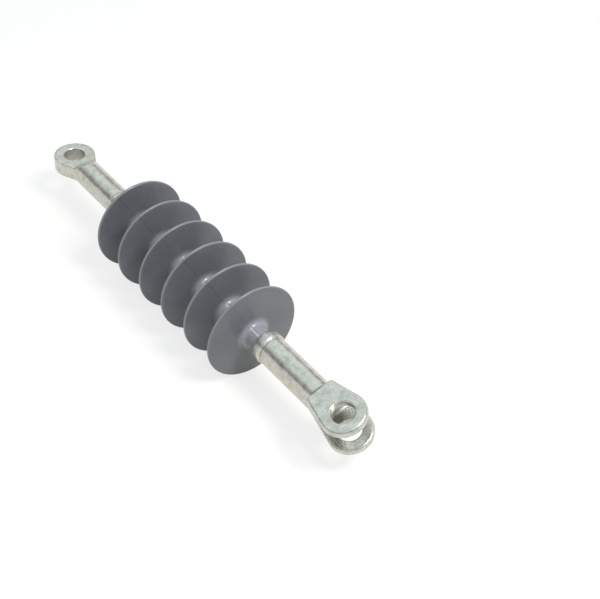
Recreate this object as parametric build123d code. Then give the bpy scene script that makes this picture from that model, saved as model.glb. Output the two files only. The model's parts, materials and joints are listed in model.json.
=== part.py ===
# Composite insulator, eye one end and clevis the other.
#
# A pultruded glass-fibre rod carries the pull.  A one-piece silicone rubber
# housing (sheath and six weather sheds) is moulded round it, and a forged,
# hot-dip galvanised steel fitting is crimped on each end.  A rubber ring
# seals the mouth of each fitting against the sheath.
#
# Frame, millimetres: the origin is the centre of the eye's pin hole, +X runs
# along the rod to the clevis, +Z is the axis of the eye's pin hole.
import os
from math import atan2, cos, radians, sin, sqrt

from build123d import *

# ---- lengths along the rod, from the centre of the eye's pin hole
PIN_TO_PIN = 436.0          # eye hole to clevis hole
EYE_MOUTH = 97.0            # mouth of the eye fitting
CLEVIS_MOUTH = 324.2        # mouth of the clevis fitting
SHED_FIRST = 124.1          # rim of the shed nearest the eye
SHED_PITCH = 36.2
SHED_COUNT = 6

# ---- rod and housing
ROD_D = 16.0
ROD_CHAMFER = 1.0
SHEATH_D = 21.0
SHED_D = 90.0
RIM_T = 3.0                 # shed thickness at the rim
ROOT_FRONT = 3.7            # shed root, clevis side of the rim plane
ROOT_BACK = 1.9             # shed root, eye side of the rim plane
ROOT_R_FRONT = 5.0          # fillets between shed and sheath
ROOT_R_BACK = 4.0

# ---- what both end fittings share
BARREL_D = 27.0
LIP_D = 29.0                # raised lip round the mouth
LIP_LEN = 9.0
LIP_FALL = 2.0              # slope from the lip down to the barrel
LIP_R = 2.2
CRIMP_LEN = 52.0            # depth of the rod bore behind the seal pocket
ROD_END_GAP = 3.0           # air left behind the end of the rod
PIN_HOLE_D = 20.0           # for a pin of 19 mm
PIN_HOLE_CHAMFER = 0.7

# ---- seal pocket in each mouth
POCKET_DEPTH = 8.0          # counterbore, its floor stops the sheath
POCKET_D = 23.0
POCKET_BREAK = 0.4          # broken edge of the pocket
SEAL_RECESS = 1.8           # the ring lies this far behind the mouth

# ---- eye: a flat tongue with a round end
EYE_D = 40.4
EYE_T = 14.8
NECK_X = 27.0               # where the tongue has run into the barrel
NECK_HALF_W = 9.8
BARREL_X0 = 18.0            # the barrel begins here, still inside the tongue
RAMP_X0 = 20.0              # a ramp from the flats up to the barrel's crest
RAMP_X1 = 31.0
RAMP_SINK = 0.3             # foot of the ramp below the flat of the tongue
RAMP_HEAD = 0.2             # head of the ramp above the barrel's crest
RAMP_R = 10.0               # roundings at the foot and head of the ramp
EYE_EDGE_R = 1.2

# ---- clevis: two ears with a slot between them
CLEVIS_TURN = 20.0          # the clevis is turned this much about +X
EAR_D = 39.6
SLOT_W = 20.0
EAR_T = 7.5
SLOT_BACK = 21.5            # slot floor behind the hole
SLOT_R = 5.0
EAR_BACK = 31.0             # step at the back of the ears behind the hole
EAR_EDGE_R = 2.6            # outer edges of the ears
SLOT_EDGE_R = 1.8           # edges of the ears along the slot
EAR_FOOT_R = 3.0            # hollow between the barrel and the step

# ---- derived
ROD_R = ROD_D / 2
SHEATH_R = SHEATH_D / 2
BARREL_R = BARREL_D / 2
LIP_R_OUT = LIP_D / 2
POCKET_R = POCKET_D / 2
EYE_FLOOR = EYE_MOUTH - POCKET_DEPTH            # floors of the two pockets
CLEVIS_FLOOR = CLEVIS_MOUTH + POCKET_DEPTH
EAR_SPREAD = SLOT_W + 2 * EAR_T                 # over both ears
ROD_X0 = EYE_FLOOR - CRIMP_LEN + ROD_END_GAP
ROD_X1 = CLEVIS_FLOOR + CRIMP_LEN - ROD_END_GAP


def spin(points):
    """Solid turned about the X axis from an (x, radius) outline."""
    face = make_face(Plane.XY * Polyline(*points, close=True))
    return revolve(face, Axis.X)


def tube(x0, x1, r_out, r_in):
    return spin([(x0, r_in), (x1, r_in), (x1, r_out), (x0, r_out)])


def rod():
    body = spin([(ROD_X0, 0), (ROD_X1, 0), (ROD_X1, ROD_R), (ROD_X0, ROD_R)])
    rims = body.edges().filter_by(GeomType.CIRCLE)
    return chamfer(rims, ROD_CHAMFER)


def housing():
    """Sheath with its row of thin, slightly dished sheds, one moulding."""
    r_out = SHED_D / 2
    outline = [(EYE_FLOOR, ROD_R), (EYE_FLOOR, SHEATH_R)]
    for i in range(SHED_COUNT):
        x = SHED_FIRST + i * SHED_PITCH
        outline += [
            (x - ROOT_BACK, SHEATH_R),
            (x - RIM_T / 2, r_out),
            (x + RIM_T / 2, r_out),
            (x + ROOT_FRONT, SHEATH_R),
        ]
    outline += [(CLEVIS_FLOOR, SHEATH_R), (CLEVIS_FLOOR, ROD_R)]
    face = make_face(Polyline(*outline, close=True))
    corners = face.vertices()
    back, front, rims = [], [], []
    for i in range(SHED_COUNT):
        x = SHED_FIRST + i * SHED_PITCH
        for v in corners:
            if abs(v.Y - SHEATH_R) < 1e-6 and abs(v.X - (x - ROOT_BACK)) < 1e-6:
                back.append(v)
            if abs(v.Y - SHEATH_R) < 1e-6 and abs(v.X - (x + ROOT_FRONT)) < 1e-6:
                front.append(v)
            if abs(v.Y - r_out) < 1e-6 and abs(v.X - x) < RIM_T:
                rims.append(v)
    face = fillet(rims, RIM_T * 0.45)
    face = fillet([v for v in face.vertices() if _near(v, back)], ROOT_R_BACK)
    face = fillet([v for v in face.vertices() if _near(v, front)], ROOT_R_FRONT)
    return revolve(face, Axis.X)


def _near(v, group):
    return any(abs(v.X - w.X) < 1e-6 and abs(v.Y - w.Y) < 1e-6 for w in group)


def barrel(mouth, far, side):
    """Barrel from the lipped mouth to x = far; side is +1 when the metal lies
    on the +X side of its mouth and -1 when it lies on the -X side."""
    def x(d):
        return mouth + side * d
    outline = [
        (x(0), 0),
        (x(0), LIP_R_OUT),
        (x(LIP_LEN), LIP_R_OUT),
        (x(LIP_LEN + LIP_FALL), BARREL_R),
        (far, BARREL_R),
        (far, 0),
    ]
    face = make_face(Polyline(*outline, close=True))
    lip = [v for v in face.vertices() if abs(v.Y - LIP_R_OUT) < 1e-6]
    face = fillet(lip, LIP_R)
    foot = [v for v in face.vertices()
            if abs(v.Y - BARREL_R) < 1e-6 and abs(v.X - x(LIP_LEN + LIP_FALL)) < 1e-6]
    face = fillet(foot, LIP_R)
    return revolve(face, Axis.X)


def bore(mouth, side):
    """What is taken out of a fitting's mouth: rod bore and seal pocket."""
    def x(d):
        return mouth + side * d
    return spin([
        (x(-1), 0),
        (x(-1), POCKET_R + POCKET_BREAK + 1),
        (x(POCKET_BREAK), POCKET_R),
        (x(POCKET_DEPTH), POCKET_R),
        (x(POCKET_DEPTH), ROD_R),
        (x(POCKET_DEPTH + CRIMP_LEN), ROD_R),
        (x(POCKET_DEPTH + CRIMP_LEN), 0),
    ])


def tongue_outline(r, x_end, half_w, side):
    """Round end of radius r about the origin running by straight tangents to
    a width of 2*half_w at x = side*x_end."""
    dist = sqrt(x_end ** 2 + half_w ** 2)
    a = atan2(half_w, x_end) + degrees_free_acos(r / dist)
    tx, ty = side * r * cos(a), r * sin(a)
    arc = ThreePointArc((tx, ty), (-side * r, 0), (tx, -ty))
    lines = Polyline((tx, -ty), (side * x_end, -half_w), (side * x_end, half_w), (tx, ty))
    return make_face(arc + lines)


def degrees_free_acos(c):
    return atan2(sqrt(1 - c * c), c)


def pin_hole(height):
    """Cutter for a pin hole along Z with broken edges at both faces."""
    r, c, h = PIN_HOLE_D / 2, PIN_HOLE_CHAMFER, height / 2
    face = make_face(Plane.XZ * Polyline(
        (0, -h - 1), (r + c + 1, -h - 1), (r, -h + c), (r, h - c),
        (r + c + 1, h + 1), (0, h + 1), close=True))
    return revolve(face, Axis.Z)


def eye_fitting():
    flat = extrude(tongue_outline(EYE_D / 2, NECK_X, NECK_HALF_W, 1), EYE_T / 2, both=True)
    rims = flat.edges().filter_by(lambda e: abs(abs(e.center().Z) - EYE_T / 2) < 1e-6
                                  and e.center().X < NECK_X - 1)
    flat = fillet(rims, EYE_EDGE_R)
    # the round barrel is pressed down to the tongue by a ramp on each side
    foot, head = EYE_T / 2 - RAMP_SINK, BARREL_R + RAMP_HEAD
    end = RAMP_X1 + 10
    start = BARREL_X0 - RAMP_R
    face = make_face(Plane.XZ * Polyline(
        (start, 0), (start, foot), (RAMP_X0, foot),
        (RAMP_X1, head), (end, head), (end, 0), close=True))
    face = fillet([v for v in face.vertices()
                   if v.Z > 1 and min(abs(v.X - RAMP_X0), abs(v.X - RAMP_X1)) < 1e-6], RAMP_R)
    press = extrude(face, BARREL_D, both=True)
    press = press + mirror(press, about=Plane.XY)
    stub = tube(BARREL_X0, end - 2, BARREL_R, 0) & press
    body = flat + stub + barrel(EYE_MOUTH, end - 2, -1)
    return body - pin_hole(EYE_T) - bore(EYE_MOUTH, -1)


def clevis_fitting():
    # worked about the pin hole, hole along Z, then turned and moved into place
    r = EAR_D / 2
    far = EAR_BACK + EAR_FOOT_R + 4
    outline = tongue_outline(r, EAR_BACK, BARREL_R, -1)
    block = extrude(outline, EAR_SPREAD / 2, both=True)
    slot = extrude(make_face(Plane.XZ * slot_outline()), EAR_D, both=True)
    ears = block - slot
    outer = ears.edges().filter_by(
        lambda e: abs(abs(e.center().Z) - EAR_SPREAD / 2) < 1e-6
        and e.center().X > 1 - EAR_BACK)
    ears = fillet(outer, EAR_EDGE_R)
    inner = ears.edges().filter_by(
        lambda e: abs(abs(e.center().Z) - SLOT_W / 2) < 1e-6 and e.center().X > 0)
    ears = fillet(inner, SLOT_EDGE_R)
    # the sweep from the round barrel up to the step behind the ears
    foot = -EAR_BACK - EAR_FOOT_R
    top = BARREL_R + EAR_FOOT_R
    sweep = make_face(
        Polyline((-far, 0), (-far, BARREL_R), (foot, BARREL_R))
        + RadiusArc((foot, BARREL_R), (-EAR_BACK, top), EAR_FOOT_R)
        + Polyline((-EAR_BACK, top), (-EAR_BACK, 0), (-far, 0)))
    neck = revolve(sweep, Axis.X)
    side = 2 * BARREL_R
    keep = Pos(-far / 2, 0, 0) * Box(far, side, EAR_SPREAD)
    neck = neck & keep
    head = ears + neck - pin_hole(EAR_SPREAD)
    head = Pos(PIN_TO_PIN, 0, 0) * Rot(CLEVIS_TURN, 0, 0) * head
    return head + barrel(CLEVIS_MOUTH, PIN_TO_PIN - far, 1) - bore(CLEVIS_MOUTH, 1)


def slot_outline():
    h, rr = SLOT_W / 2, SLOT_R
    x1 = EAR_D
    return (Polyline((x1, h), (-SLOT_BACK + rr, h))
            + ThreePointArc((-SLOT_BACK + rr, h),
                            (-SLOT_BACK + rr * (1 - sin(radians(45))),
                             h - rr * (1 - sin(radians(45)))),
                            (-SLOT_BACK, h - rr))
            + Polyline((-SLOT_BACK, h - rr), (-SLOT_BACK, -h + rr))
            + ThreePointArc((-SLOT_BACK, -h + rr),
                            (-SLOT_BACK + rr * (1 - sin(radians(45))),
                             -h + rr * (1 - sin(radians(45)))),
                            (-SLOT_BACK + rr, -h))
            + Polyline((-SLOT_BACK + rr, -h), (x1, -h), (x1, h)))


def seal(mouth, side):
    a = mouth + side * SEAL_RECESS
    b = mouth + side * POCKET_DEPTH
    return tube(min(a, b), max(a, b), POCKET_R, SHEATH_R)


PARTS = {
    "core_rod": rod,
    "housing": housing,
    "eye_fitting": eye_fitting,
    "clevis_fitting": clevis_fitting,
    "eye_seal": lambda: seal(EYE_MOUTH, -1),
    "clevis_seal": lambda: seal(CLEVIS_MOUTH, 1),
}

os.makedirs("parts", exist_ok=True)
for name, make in PARTS.items():
    shape = make()
    solids = shape.solids()
    assert len(solids) == 1, (name, len(solids))
    export_step(solids[0], os.path.join("parts", name + ".step"))
    b = solids[0].bounding_box()
    print(name, round(solids[0].volume), [round(v, 2) for v in (*b.min, *b.max)])
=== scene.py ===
import json
import math

import bmesh
import bpy
from mathutils import Matrix, Vector
from mathutils.noise import noise as noise_value

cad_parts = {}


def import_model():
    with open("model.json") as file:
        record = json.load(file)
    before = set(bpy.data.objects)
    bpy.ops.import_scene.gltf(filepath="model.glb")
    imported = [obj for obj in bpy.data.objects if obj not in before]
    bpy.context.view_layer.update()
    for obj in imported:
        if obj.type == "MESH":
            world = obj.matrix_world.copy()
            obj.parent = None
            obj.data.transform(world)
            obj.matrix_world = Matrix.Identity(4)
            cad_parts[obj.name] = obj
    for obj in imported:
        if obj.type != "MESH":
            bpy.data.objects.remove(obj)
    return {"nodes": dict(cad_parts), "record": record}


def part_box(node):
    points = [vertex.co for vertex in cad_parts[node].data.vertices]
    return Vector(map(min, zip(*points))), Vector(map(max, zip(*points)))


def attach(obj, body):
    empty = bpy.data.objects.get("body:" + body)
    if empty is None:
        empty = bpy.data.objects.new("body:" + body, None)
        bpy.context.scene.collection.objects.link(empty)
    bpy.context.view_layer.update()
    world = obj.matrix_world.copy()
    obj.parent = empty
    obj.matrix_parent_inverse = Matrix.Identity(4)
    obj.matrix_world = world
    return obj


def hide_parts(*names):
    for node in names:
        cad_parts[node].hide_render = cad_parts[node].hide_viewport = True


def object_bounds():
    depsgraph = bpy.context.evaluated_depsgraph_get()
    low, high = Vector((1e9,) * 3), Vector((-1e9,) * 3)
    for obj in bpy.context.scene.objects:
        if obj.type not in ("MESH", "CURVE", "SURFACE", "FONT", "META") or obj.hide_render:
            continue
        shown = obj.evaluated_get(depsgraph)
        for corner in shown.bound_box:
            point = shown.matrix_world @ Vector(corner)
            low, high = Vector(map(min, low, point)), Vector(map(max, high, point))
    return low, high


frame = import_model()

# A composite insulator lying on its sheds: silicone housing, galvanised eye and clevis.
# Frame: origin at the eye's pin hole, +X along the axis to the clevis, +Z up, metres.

cad_box = [list(map(float, v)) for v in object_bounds()]
record = frame["record"]

# ------------------------------------------------------------------ sizes, metres
MM = 0.001
PER_METRE = 1000.0                      # millimetres, for noise scaled in them
house_lo, house_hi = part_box("housing")
FLOOR_Z = house_lo.z
SHED_R = house_hi.y                     # rim radius of a shed
SHEATH_R = 10.5 * MM
ROD_R = 8.0 * MM
SHEDS = 6
SHED_FIRST = 124.1 * MM
SHED_PITCH = 36.2 * MM
RIM_T = 3.0 * MM
RIM_ROUND = 0.45 * RIM_T
ROOT_FRONT = 3.7 * MM                   # how far a shed's faces spread at its root
ROOT_BACK = 1.9 * MM
FILLET_FRONT = 5.0 * MM
FILLET_BACK = 4.0 * MM

PARTING_TURN = math.radians(28.0)       # the mould's parting plane, about +X from +Z
PARTING_HALF_W = 0.32 * MM              # half width of the line the mould leaves
PARTING_LIFT = 0.17 * MM                # how far it stands up
PARTING_LIFT_RIM = 0.32 * MM            # and where it crosses a rim
RIM_BAND = 1.0 * MM                     # what counts as the rim there
# columns of the moulding's mesh: close together about the parting line, even between
PARTING_STEPS = [math.radians(d) for d in (0.35, 0.7, 1.1, 1.6, 2.2, 3.0, 4.0, 5.4)]
HALF_TURN_COLUMNS = 92

VOXEL = 0.55 * MM                       # remesh of the forgings
SMOOTHING = 4                           # passes
BATH_DEPTH = 0.09 * MM                  # unevenness of the zinc coat
BEAD = 8.6 * MM                         # length of the bead at a fitting's mouth
GROOVE = 3.6 * MM                       # length of the groove behind it
GROOVE_DEPTH = 0.45 * MM
BORE_CLEAR = 12.0 * MM                  # nearer the axis than this is the bore


# ------------------------------------------------------------------ node helpers
def material(name):
    m = bpy.data.materials.new(name)
    m.use_nodes = True
    nt = m.node_tree
    nt.nodes.clear()
    out = nt.nodes.new("ShaderNodeOutputMaterial")
    shader = nt.nodes.new("ShaderNodeBsdfPrincipled")
    nt.links.new(shader.outputs[0], out.inputs[0])
    return m, nt, shader


def feed(nt, socket, value):
    """Link a socket, or set a plain number or colour."""
    if isinstance(value, bpy.types.NodeSocket):
        nt.links.new(value, socket)
    elif socket.type == "RGBA" and len(value) == 3:
        socket.default_value = (*value, 1.0)
    else:
        socket.default_value = value


def node(nt, kind, inputs=None, **attrs):
    n = nt.nodes.new(kind)
    for k, v in attrs.items():
        setattr(n, k, v)
    for k, v in (inputs or {}).items():
        feed(nt, n.inputs[k], v)
    return n


def object_coords(nt):
    return node(nt, "ShaderNodeTexCoord").outputs["Object"]


def noise(nt, co, scale, detail=3.0, rough=0.5):
    return node(nt, "ShaderNodeTexNoise", {"Vector": co, "Scale": scale, "Detail": detail,
                "Roughness": rough}).outputs["Fac"]


def ramp(nt, fac, stops):
    n = node(nt, "ShaderNodeValToRGB", {"Fac": fac})
    els = n.color_ramp.elements
    while len(els) < len(stops):
        els.new(0.5)
    for e, (pos, c) in zip(els, stops):
        e.position = pos
        e.color = (*c, 1.0) if isinstance(c, tuple) else (c, c, c, 1.0)
    return n.outputs["Color"]


def map_range(nt, value, low, high, at_low, at_high):
    return node(nt, "ShaderNodeMapRange", {"Value": value, "From Min": low, "From Max": high,
                "To Min": at_low, "To Max": at_high}).outputs[0]


def maths(nt, op, a, b=0.0, clamp=False):
    return node(nt, "ShaderNodeMath", {0: a, 1: b}, operation=op, use_clamp=clamp).outputs[0]


def vectors(nt, op, a, b):
    return node(nt, "ShaderNodeVectorMath", {0: a, 1: b}, operation=op).outputs["Vector"]


def along(nt, co, direction):
    """How far a point lies along a direction."""
    return node(nt, "ShaderNodeVectorMath", {0: co, 1: direction},
                operation="DOT_PRODUCT").outputs["Value"]


def mix(nt, fac, a, b):
    n = node(nt, "ShaderNodeMix", data_type="RGBA", blend_type="MIX")
    for socket, value in ((n.inputs[0], fac), (n.inputs[6], a), (n.inputs[7], b)):
        feed(nt, socket, value)
    return n.outputs[2]


def tint(nt, base, where, strength, colour):
    """The base turned towards a colour where a mask says, to a strength of 0 to 1."""
    return mix(nt, maths(nt, "MULTIPLY", where, strength), base, colour)


def bump(nt, height, distance, strength, normal=None):
    ins = {"Height": height, "Distance": distance, "Strength": strength}
    if normal is not None:
        ins["Normal"] = normal
    return node(nt, "ShaderNodeBump", ins).outputs["Normal"]


def finish(nt, shader, **sockets):
    """Link what varies over the surface, and set what doesn't on the shader's own socket."""
    for name, value in sockets.items():
        feed(nt, shader.inputs[name.replace("_", " ")], value)


# ------------------------------------------------------------------ materials
def silicone():
    """Mid-grey moulded silicone rubber, satin, with a faint bloom, a sheath lightened with
    painted sheen, rims lightened with painted highlight, and the hairline that the mould's
    parting leaves."""
    m, nt, sh = material("silicone_rubber")
    co = object_coords(nt)
    cloud = noise(nt, co, 30.0, 4.0, 0.6)
    base = ramp(nt, cloud, [(0.30, (0.102, 0.104, 0.115)), (0.72, (0.130, 0.132, 0.145))])
    dust = ramp(nt, noise(nt, co, 900.0, 2.0), [(0.58, 0.0), (0.76, 1.0)])
    base = tint(nt, base, dust, 0.12, (0.30, 0.31, 0.33))

    # bands by distance from the axis
    flat = vectors(nt, "MULTIPLY", co, (0.0, 1.0, 1.0))
    radius = node(nt, "ShaderNodeVectorMath", {0: flat}, operation="LENGTH").outputs["Value"]
    on_sheath = maths(nt, "LESS_THAN", radius, SHEATH_R + 0.8 * MM)
    on_shed = maths(nt, "GREATER_THAN", radius, SHEATH_R + 4.0 * MM)
    on_rim = maths(nt, "GREATER_THAN", radius, SHED_R - 0.4 * MM)
    near_sheath = map_range(nt, radius, SHEATH_R + 0.5 * MM, SHEATH_R + 7.0 * MM, 1.0, 0.0)

    # the parting line: a dark hairline on the sheds, and on the sheath a pale one that is partly
    # the flash's own tone and partly a painted highlight along its ridge
    across = (0.0, math.cos(PARTING_TURN), math.sin(PARTING_TURN))
    off_plane = maths(nt, "ABSOLUTE", along(nt, co, across))
    dark_line = map_range(nt, off_plane, 0.2 * MM, 0.8 * MM, 0.30, 0.0)
    pale_flash_and_highlight = map_range(nt, off_plane, 0.3 * MM, 0.7 * MM, 0.85, 0.0)

    # painted sheen: the sheath and root fillets are painted paler and lilac, standing in for the
    # light from above that falls on them
    base = tint(nt, base, near_sheath, 0.9, (0.285, 0.282, 0.310))
    # painted highlight: the rims are painted lighter where they would catch the light
    base = tint(nt, base, on_rim, 0.5, (0.27, 0.272, 0.28))
    base = tint(nt, base, dark_line, on_shed, (0.055, 0.057, 0.065))
    # the pale line on the sheath: partly the flash's paler tone, partly a painted highlight along
    # the ridge
    base = tint(nt, base, pale_flash_and_highlight, on_sheath, (0.60, 0.60, 0.64))

    rough = map_range(nt, cloud, 0.3, 0.7, 0.28, 0.38)
    rough = maths(nt, "SUBTRACT", rough, maths(nt, "MULTIPLY", near_sheath, 0.10))
    waves = bump(nt, noise(nt, co, 55.0, 2.0), 0.4 * MM, 0.5)
    grain = bump(nt, noise(nt, co, 420.0, 3.0, 0.6), 0.05 * MM, 0.6, waves)
    finish(nt, sh, Base_Color=base, Roughness=rough, Specular_IOR_Level=0.5, Normal=grain)
    return m


def zinc():
    """Hot-dip galvanised steel: small crystal spangle, mottled grey-green sheen, duller
    where it is shut in, and darkened there with painted shade."""
    m, nt, sh = material("galvanised_steel")
    co = object_coords(nt)

    # crystals with wavy borders
    warp = node(nt, "ShaderNodeTexNoise", {"Vector": co, "Scale": 160.0, "Detail": 2.0})
    shift = vectors(nt, "SUBTRACT", warp.outputs["Color"], (0.5, 0.5, 0.5))
    shift = node(nt, "ShaderNodeVectorMath", {0: shift, "Scale": 3.0 * MM},
                 operation="SCALE").outputs[0]
    cells = node(nt, "ShaderNodeTexVoronoi", {"Vector": vectors(nt, "ADD", co, shift),
                 "Scale": 420.0})
    spangle = node(nt, "ShaderNodeSeparateColor", {"Color": cells.outputs["Color"]}).outputs[0]
    cloud = noise(nt, co, 150.0, 4.0, 0.60)

    def blend(of_spangle, of_cloud):
        return maths(nt, "ADD", maths(nt, "MULTIPLY", spangle, of_spangle),
                     maths(nt, "MULTIPLY", cloud, of_cloud))

    base = ramp(nt, blend(0.12, 0.88), [(0.32, (0.435, 0.42, 0.37)),
                                        (0.50, (0.555, 0.535, 0.475)),
                                        (0.68, (0.655, 0.635, 0.57))])
    specks = ramp(nt, noise(nt, co, 600.0, 2.0, 0.6), [(0.28, 1.0), (0.40, 0.0)])
    base = tint(nt, base, specks, 0.15, (0.24, 0.25, 0.24))
    # painted shade: the base turns dark where the fitting shuts itself in (slot, bores, under the
    # ears); the same mask also makes it rougher there
    open_air = node(nt, "ShaderNodeAmbientOcclusion", {"Distance": 30.0 * MM}, samples=16,
                    only_local=True).outputs["AO"]
    painted_shade_and_dullness = map_range(nt, open_air, 0.25, 0.75, 0.70, 0.0)
    base = mix(nt, painted_shade_and_dullness, base, (0.10, 0.092, 0.078))

    rough = maths(nt, "ADD", maths(nt, "ADD", blend(0.06, 0.16), 0.14),
                  maths(nt, "MULTIPLY", painted_shade_and_dullness, 0.45), clamp=True)
    waves = bump(nt, noise(nt, co, 100.0, 2.0), 0.12 * MM, 0.5)
    grain = bump(nt, noise(nt, co, 420.0, 2.0), 0.04 * MM, 0.5, waves)
    finish(nt, sh, Base_Color=base, Roughness=rough, Metallic=0.80, Normal=grain)
    return m


def ring_rubber():
    """Black sealing rubber."""
    m, nt, sh = material("seal_rubber")
    co = object_coords(nt)
    base = ramp(nt, noise(nt, co, 300.0), [(0.3, (0.012, 0.012, 0.014)),
                                           (0.7, (0.022, 0.022, 0.025))])
    grain = bump(nt, noise(nt, co, 700.0), 0.05 * MM, 0.5)
    finish(nt, sh, Base_Color=base, Roughness=0.55, Normal=grain)
    return m


def glass_rod():
    """Pultruded glass fibre in epoxy: fibres run along X."""
    m, nt, sh = material("glass_fibre_rod")
    drawn = node(nt, "ShaderNodeMapping", {"Vector": object_coords(nt),
                 "Scale": (6.0, 900.0, 900.0)}).outputs[0]
    fibre = noise(nt, drawn, 1.0, 3.0, 0.6)
    base = ramp(nt, fibre, [(0.3, (0.42, 0.40, 0.22)), (0.7, (0.58, 0.56, 0.36))])
    grain = bump(nt, fibre, 0.04 * MM, 0.5)
    finish(nt, sh, Base_Color=base, Roughness=0.38, Normal=grain)
    return m


# ------------------------------------------------------------------ housing
def fillet_points(a, b, c, rad, n):
    """Points of the fillet of radius rad at corner b of the line a-b-c."""
    a, b, c = Vector(a), Vector(b), Vector(c)
    u, v = (a - b).normalized(), (c - b).normalized()
    half = 0.5 * u.angle(v)
    d = rad / math.tan(half)
    mid = b + (u + v).normalized() * (rad / math.sin(half))
    p, q = b + u * d - mid, b + v * d - mid
    t0 = math.atan2(p.y, p.x)
    turn = (math.atan2(q.y, q.x) - t0 + math.pi) % (2 * math.pi) - math.pi
    return [(mid.x + rad * math.cos(t0 + turn * i / n), mid.y + rad * math.sin(t0 + turn * i / n))
            for i in range(n + 1)]


def between(a, b, shares):
    return [tuple(Vector(a).lerp(Vector(b), t)) for t in shares]


def housing_profile():
    """Half section of the moulding as (x, radius), from the eye's end to the clevis's."""
    x_lo, x_hi = house_lo.x, house_hi.x
    pts = [(x_lo, SHEATH_R)]
    for i in range(SHEDS):
        x = SHED_FIRST + i * SHED_PITCH
        back, front = (x - ROOT_BACK, SHEATH_R), (x + ROOT_FRONT, SHEATH_R)
        rim_b, rim_f = (x - RIM_T / 2, SHED_R), (x + RIM_T / 2, SHED_R)
        before = (x - SHED_PITCH / 2 if i else x_lo, SHEATH_R)
        after = (x + SHED_PITCH / 2 if i < SHEDS - 1 else x_hi, SHEATH_R)
        pts += fillet_points(before, back, rim_b, FILLET_BACK, 8)
        pts += between(back, rim_b, (0.3, 0.5, 0.7, 0.85))
        pts += fillet_points(back, rim_b, rim_f, RIM_ROUND, 6)
        pts += fillet_points(rim_b, rim_f, front, RIM_ROUND, 6)
        pts += between(rim_f, front, (0.15, 0.3, 0.5, 0.7))
        pts += fillet_points(rim_f, front, after, FILLET_FRONT, 10)
        if i < SHEDS - 1:
            pts.append(after)
    pts.append((x_hi, SHEATH_R))
    return pts


def profile_normals(prof):
    """Outward normal at each point of the half section."""
    normals = []
    for i in range(len(prof)):
        a, b = prof[max(i - 1, 0)], prof[min(i + 1, len(prof) - 1)]
        t = (Vector(b) - Vector(a)).normalized()
        normals.append(Vector((-t.y, t.x)))
    return normals


def column_angles():
    angles = []
    for k in range(2):
        mid = PARTING_TURN + k * math.pi
        angles += [mid - s for s in reversed(PARTING_STEPS)] + [mid]
        angles += [mid + s for s in PARTING_STEPS]
        start, end = mid + PARTING_STEPS[-1], mid + math.pi - PARTING_STEPS[-1]
        angles += [start + (end - start) * j / HALF_TURN_COLUMNS
                   for j in range(1, HALF_TURN_COLUMNS)]
    return angles


def turned(x, r, ang):
    """The point at a radius, turned about +X from +Z."""
    return (x, -r * math.sin(ang), r * math.cos(ang))


def housing_mesh():
    """The moulding turned from its profile, with the fine raised line that the two
    halves of the mould leave along the sheath and across each shed."""
    prof = housing_profile()
    normals = profile_normals(prof)
    angles = column_angles()
    bm = bmesh.new()
    rows = []
    for ang in angles:
        row = []
        off = (ang - PARTING_TURN + math.pi / 2) % math.pi - math.pi / 2
        for (x, r), nrm in zip(prof, normals):
            d = abs(off) * r / PARTING_HALF_W
            lift = PARTING_LIFT_RIM if r > SHED_R - RIM_BAND else PARTING_LIFT
            lift *= math.exp(-d * d)
            row.append(bm.verts.new(turned(x + nrm.x * lift, r + nrm.y * lift, ang)))
        rows.append(row)
    # the bore that the rod fills
    bore = [[bm.verts.new(turned(x, ROD_R, ang)) for ang in angles]
            for x in (house_lo.x, house_hi.x)]
    for i in range(len(rows)):
        k = (i + 1) % len(rows)
        a, b = rows[i], rows[k]
        for j in range(len(prof) - 1):
            bm.faces.new((a[j], a[j + 1], b[j + 1], b[j]))
        bm.faces.new((a[0], b[0], bore[0][k], bore[0][i]))
        bm.faces.new((b[-1], a[-1], bore[1][i], bore[1][k]))
        bm.faces.new((bore[0][i], bore[0][k], bore[1][k], bore[1][i]))
    bmesh.ops.recalc_face_normals(bm, faces=bm.faces)
    me = bpy.data.meshes.new("housing_moulding")
    bm.to_mesh(me)
    bm.free()
    for f in me.polygons:
        f.use_smooth = True
    me.set_sharp_from_angle(angle=math.radians(40))
    ob = bpy.data.objects.new("housing_moulding", me)
    bpy.context.collection.objects.link(ob)
    return ob


# ------------------------------------------------------------------ forged fittings
def remeshed(cad, name):
    """A copy of a CAD node as an even, softened mesh."""
    copy = bpy.data.objects.new(name, cad.data.copy())
    copy.matrix_world = cad.matrix_world.copy()
    bpy.context.collection.objects.link(copy)
    re = copy.modifiers.new("remesh", "REMESH")
    re.mode, re.voxel_size, re.adaptivity = "VOXEL", VOXEL, 0.0
    sm = copy.modifiers.new("smooth", "SMOOTH")
    sm.factor, sm.iterations = 0.5, SMOOTHING
    bpy.context.view_layer.update()
    deps = bpy.context.evaluated_depsgraph_get()
    me = bpy.data.meshes.new_from_object(copy.evaluated_get(deps))
    copy.modifiers.clear()
    copy.data = me
    me.materials.clear()
    return copy


def forging(name):
    """The solid with the soft edges and faint unevenness of a forging that has been
    through the zinc bath. Every point moves inwards."""
    piece = remeshed(frame["nodes"][name], name + "_forged")
    me = piece.data
    lo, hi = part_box(name)
    mouth = hi.x if name == "eye_fitting" else lo.x
    normals = [v.normal.copy() for v in me.vertices]
    for v, n in zip(me.vertices, normals):
        p = v.co * PER_METRE
        broad, fine = noise_value(p * 0.13), noise_value(p * 0.42)
        v.co -= n * (BATH_DEPTH * (0.5 + 0.5 * broad + 0.35 * (0.5 + 0.5 * fine)))
        # the bead at the mouth stands clear of the barrel behind a shallow groove
        behind = abs(v.co.x - mouth) - BEAD
        if 0.0 < behind < GROOVE and math.hypot(v.co.y, v.co.z) > BORE_CLEAR:
            v.co -= n * (GROOVE_DEPTH * math.sin(math.pi * behind / GROOVE) ** 2)
    for f in me.polygons:
        f.use_smooth = True
    return piece


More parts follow.
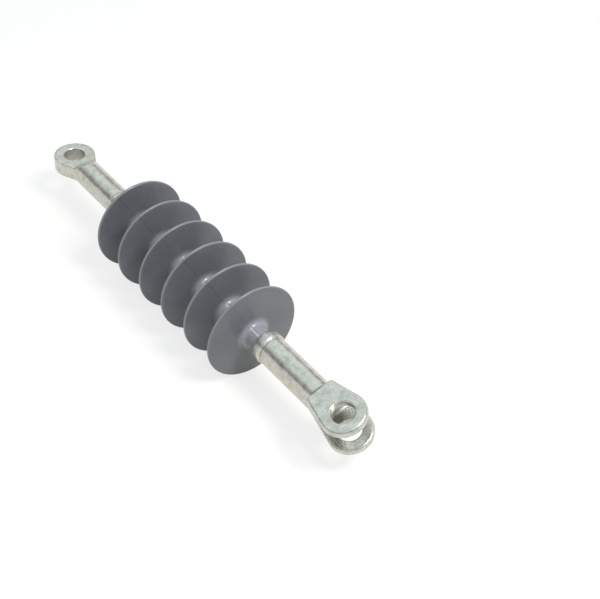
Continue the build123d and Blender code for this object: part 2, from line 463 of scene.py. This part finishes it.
# ------------------------------------------------------------------ build
mats = {"silicone": silicone(), "zinc": zinc(), "seal": ring_rubber(), "rod": glass_rod()}
slots = {s["node"]: s["material_slot"] for s in record["subparts"]}
for name, ob in frame["nodes"].items():
    ob.data.materials.clear()
    ob.data.materials.append(mats[slots[name]])

moulding = housing_mesh()
moulding.data.materials.append(mats["silicone"])
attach(moulding, "root")
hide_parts("housing")

for name in ("eye_fitting", "clevis_fitting"):
    piece = forging(name)
    piece.data.materials.append(mats["zinc"])
    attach(piece, "root")
    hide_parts(name)


# ------------------------------------------------------------------ floor, light, camera
FLOOR_HALF = 12.0
FLOOR_WHITE = 0.74                      # share of plain white that camera and metal see
MIDDLE = Vector(((cad_box[0][0] + cad_box[1][0]) / 2, 0, 0))
KEY_PLACE = Vector((1.10, 0.30, 1.40))
KEY_SIZE = 0.50
KEY_WATTS = 22.0
CAMERA_PLACE = (0.93232, -0.45467, 0.70756)
CAMERA_FORWARD = (-0.58873, 0.47467, -0.65429)
CAMERA_UP = (-0.54227, 0.36835, 0.75516)
CAMERA_LENS = 73.93
CAMERA_SENSOR = 36.0
WHITE = (1.0, 1.0, 1.0)


def floor():
    """Plain paper: white to the camera and in the metal, and it keeps the shadow."""
    s = FLOOR_HALF
    me = bpy.data.meshes.new("floor")
    me.from_pydata([(-s, -s, FLOOR_Z), (s, -s, FLOOR_Z), (s, s, FLOOR_Z), (-s, s, FLOOR_Z)],
                   [], [(0, 1, 2, 3)])
    ob = bpy.data.objects.new("floor", me)
    bpy.context.collection.objects.link(ob)
    m, nt, sh = material("floor_paper")
    finish(nt, sh, Base_Color=(0.90, 0.865, 0.80), Roughness=0.9, Specular_IOR_Level=0.0)
    glow = node(nt, "ShaderNodeEmission", {"Color": WHITE, "Strength": 1.0})
    path = node(nt, "ShaderNodeLightPath").outputs
    seen = maths(nt, "MAXIMUM", path["Is Camera Ray"], path["Is Transmission Ray"])
    seen = maths(nt, "MAXIMUM", seen, path["Is Glossy Ray"])
    paper = node(nt, "ShaderNodeMixShader", {0: maths(nt, "MULTIPLY", seen, FLOOR_WHITE),
                 1: sh.outputs[0], 2: glow.outputs[0]})
    out = next(n for n in nt.nodes if n.type == "OUTPUT_MATERIAL")
    nt.links.new(paper.outputs[0], out.inputs[0])
    me.materials.append(m)


def world():
    """A plain studio: white at the horizon, a dim belt above it, a bright ceiling. The
    belt reaches higher on the near side."""
    w = bpy.data.worlds.new("studio")
    w.use_nodes = True
    nt = w.node_tree
    nt.nodes.clear()
    out = nt.nodes.new("ShaderNodeOutputWorld")
    co = node(nt, "ShaderNodeTexCoord").outputs["Generated"]
    height = node(nt, "ShaderNodeSeparateXYZ", {0: co}).outputs[2]
    horizon = [(0.0, WHITE), (0.24, WHITE)]
    far_side = ramp(nt, height, horizon + [
        (0.26, (0.10, 0.11, 0.11)), (0.42, (0.30, 0.33, 0.34)), (0.58, (1.0, 1.12, 1.14)),
        (0.70, (1.04, 1.20, 1.24)), (0.85, (0.82, 0.95, 1.0))])
    near_side = ramp(nt, height, horizon + [
        (0.26, (0.06, 0.06, 0.06)), (0.50, (0.16, 0.17, 0.17)), (0.62, (0.48, 0.53, 0.54)),
        (0.78, (0.88, 1.03, 1.09)), (0.85, (0.84, 0.98, 1.04))])
    nearness = map_range(nt, along(nt, co, (0.62, -0.78, 0.0)), -0.5, 0.1, 0.0, 1.0)
    bg = node(nt, "ShaderNodeBackground", {"Color": mix(nt, nearness, far_side, near_side),
              "Strength": 1.0})
    nt.links.new(bg.outputs[0], out.inputs[0])
    bpy.context.scene.world = w


def key_light():
    li = bpy.data.lights.new("key", "AREA")
    li.shape, li.size, li.size_y = "RECTANGLE", KEY_SIZE, KEY_SIZE
    li.energy, li.color = KEY_WATTS, (0.97, 0.99, 1.0)
    ob = bpy.data.objects.new("key", li)
    ob.location = KEY_PLACE
    ob.rotation_euler = (MIDDLE - KEY_PLACE).to_track_quat("-Z", "Y").to_euler()
    bpy.context.collection.objects.link(ob)


def camera():
    """The photograph's viewpoint."""
    cam_data = bpy.data.cameras.new("camera")
    cam_data.lens, cam_data.sensor_width = CAMERA_LENS, CAMERA_SENSOR
    cam_data.clip_start, cam_data.clip_end = 0.01, 100.0
    cam = bpy.data.objects.new("camera", cam_data)
    bpy.context.collection.objects.link(cam)
    forward = Vector(CAMERA_FORWARD).normalized()
    right = forward.cross(Vector(CAMERA_UP)).normalized()
    up = right.cross(forward)
    turn = Matrix((right, up, -forward)).transposed().to_4x4()
    cam.matrix_world = Matrix.Translation(CAMERA_PLACE) @ turn
    bpy.context.scene.camera = cam


floor()
world()
key_light()
camera()
bpy.context.scene.view_settings.view_transform = "Standard"
